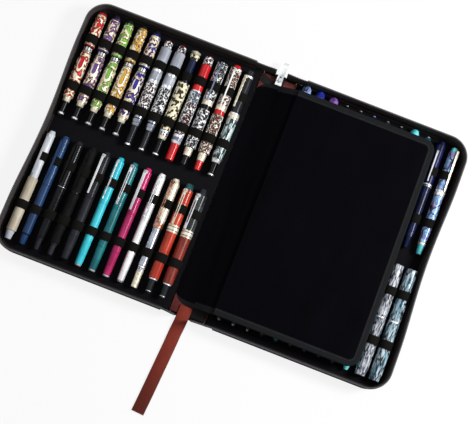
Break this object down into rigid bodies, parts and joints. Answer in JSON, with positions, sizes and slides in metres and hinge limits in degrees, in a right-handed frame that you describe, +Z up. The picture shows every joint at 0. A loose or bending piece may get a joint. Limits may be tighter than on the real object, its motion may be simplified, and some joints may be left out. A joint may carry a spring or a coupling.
{
  "type": "fountain pen case",
  "caption": "Zip-round case for fountain pens, open flat: two padded covers joined by a soft spine, elastic pen loops, a velvet page that turns and a leather strap.",
  "frame": {"origin": "middle of the spine's underside, on the surface the case lies on", "axes": "+X from the left cover to the right cover, +Y along the spine to the end with the zip slider, +Z up out of the open case"},
  "size_m": [0.5118, 0.4736, 0.026],
  "materials": {
    "spine_leather": "black pebbled leather",
    "spine_board": "grey-brown fibre board",
    "spine_lining": "reddish-brown smooth leather",
    "hinge_leather": "black pebbled leather",
    "page_gusset": "blue-black velvet",
    "zip_end_tab": "black herringbone zip tape",
    "zip_end_chain": "black nylon coil",
    "zip_tape_ends": "black herringbone zip tape",
    "strap": "reddish-brown smooth leather",
    "slider_body": "polished nickel",
    "pull_tab": "polished nickel",
    "left_outer_shell": "black pebbled leather",
    "left_stiffener": "grey-brown fibre board",
    "left_lining_panel": "black woven lining",
    "left_wall": "black pebbled leather",
    "left_piping": "black woven lining",
    "left_zip_tape": "black herringbone zip tape",
    "left_zip_coil": "black nylon coil",
    "left_pen_loops": "black woven elastic",
    "right_outer_shell": "black pebbled leather",
    "right_stiffener": "grey-brown fibre board",
    "right_lining_panel": "black woven lining",
    "right_wall": "black pebbled leather",
    "right_piping": "black woven lining",
    "right_zip_tape": "black herringbone zip tape",
    "right_zip_coil": "black nylon coil",
    "right_pen_loops": "black woven elastic",
    "page_board": "grey-brown fibre board",
    "page_pads": "blue-black velvet",
    "page_binding": "dark grey grosgrain binding",
    "red_relief_pen": "red resin with cream-gold relief",
    "purple_relief_pen": "purple resin with cream-gold relief",
    "green_relief_pen": "green resin with cream-gold relief",
    "yellow_relief_pen": "yellow resin with cream-gold relief",
    "indigo_relief_pen": "indigo resin with cream-gold relief",
    "red_topped_pen": "grey cap, silver and red relief",
    "grey_topped_pen": "grey cap, silver and black relief",
    "ivory_star_pen": "ivory relief on a dark body",
    "red_lacquer_pen": "red lacquer with silver relief",
    "silver_filigree_pen": "silver filigree over black",
    "orange_filigree_pen": "silver filigree over orange",
    "facet_pen": "pale teal facets with silver rings",
    "beige_pen": "beige barrel, white-silver cap",
    "navy_slim_pen": "navy lacquer",
    "gloss_black_pen": "gloss black",
    "matte_black_pen": "matte black",
    "black_clip_pen": "black with a silver clip",
    "turquoise_pen": "bright turquoise",
    "teal_pen": "teal with a silver clip",
    "pink_pen": "magenta with a silver cap",
    "silver_pen": "satin silver",
    "cream_pen": "cream and silver-blue",
    "orange_pen": "orange-red with silver rings",
    "brick_pen": "brick red with silver rings",
    "right_upper_row_pens": "purple, blue and black pearl",
    "navy_clip_pen": "navy with a silver clip",
    "pearl_pen": "pink, purple and blue pearl",
    "right_lower_row_pens": "dark resin with silver ends",
    "marble_pens": "grey and white marbled shell"
  },
  "bodies": {
    "spine": {"spine_leather": "spine_leather", "spine_board": "spine_board", "spine_lining": "spine_lining", "hinge_leather": "hinge_leather", "page_gusset": "page_gusset", "zip_end_tab": "zip_end_tab", "zip_end_chain": "zip_end_chain", "zip_tape_ends": "zip_tape_ends", "strap": "strap"},
    "left_cover": {"left_outer_shell": "left_outer_shell", "left_stiffener": "left_stiffener", "left_lining_panel": "left_lining_panel", "left_wall": "left_wall", "left_piping": "left_piping", "left_zip_tape": "left_zip_tape", "left_zip_coil": "left_zip_coil", "left_pen_loops": "left_pen_loops", "red_relief_pen": "red_relief_pen", "purple_relief_pen": "purple_relief_pen", "green_relief_pen": "green_relief_pen", "yellow_relief_pen": "yellow_relief_pen", "indigo_relief_pen": "indigo_relief_pen", "red_topped_pen": "red_topped_pen", "grey_topped_pen": "grey_topped_pen", "ivory_star_pen": "ivory_star_pen", "red_lacquer_pen": "red_lacquer_pen", "silver_filigree_pen": "silver_filigree_pen", "orange_filigree_pen": "orange_filigree_pen", "facet_pen": "facet_pen", "beige_pen": "beige_pen", "navy_slim_pen": "navy_slim_pen", "gloss_black_pen": "gloss_black_pen", "matte_black_pen": "matte_black_pen", "black_clip_pen": "black_clip_pen", "turquoise_pen": "turquoise_pen", "teal_pen": "teal_pen", "pink_pen": "pink_pen", "silver_pen": "silver_pen", "cream_pen": "cream_pen", "orange_pen": "orange_pen", "brick_pen": "brick_pen"},
    "right_cover": {"right_outer_shell": "right_outer_shell", "right_stiffener": "right_stiffener", "right_lining_panel": "right_lining_panel", "right_wall": "right_wall", "right_piping": "right_piping", "right_zip_tape": "right_zip_tape", "right_zip_coil": "right_zip_coil", "right_pen_loops": "right_pen_loops", "right_upper_row_pens": "right_upper_row_pens", "navy_clip_pen": "navy_clip_pen", "pearl_pen": "pearl_pen", "right_lower_row_pens": "right_lower_row_pens", "marble_pens": "marble_pens"},
    "page": {"page_board": "page_board", "page_pads": "page_pads", "page_binding": "page_binding"},
    "zip_slider": {"slider_body": "slider_body"},
    "pull_tab": {"pull_tab": "pull_tab"}
  },
  "joints": [
    {"name": "left_cover_fold", "type": "hinge", "parent": "spine", "child": "left_cover", "pos_m": [-0.024, 0, 0.0024], "axis": [0, 1, 0], "range_deg": [0, 89], "deforming": ["hinge_leather", "zip_tape_ends"]},
    {"name": "right_cover_fold", "type": "hinge", "parent": "spine", "child": "right_cover", "pos_m": [0.024, 0, 0.0024], "axis": [0, -1, 0], "range_deg": [0, 89], "deforming": ["page_gusset"]},
    {"name": "page_turn", "type": "hinge", "parent": "right_cover", "child": "page", "pos_m": [0.028, 0, 0.0236], "axis": [0, 1, 0], "range_deg": [-175, 0]},
    {"name": "slider_run", "type": "slide", "parent": "spine", "child": "zip_slider", "axis": [0, 1, 0], "range_m": [0, 0.004]},
    {"name": "pull_tab_swing", "type": "hinge", "parent": "zip_slider", "child": "pull_tab", "pos_m": [0, 0.1581, 0.0097], "axis": [-1, 0, 0], "range_deg": [-90, 0]}
  ]
}
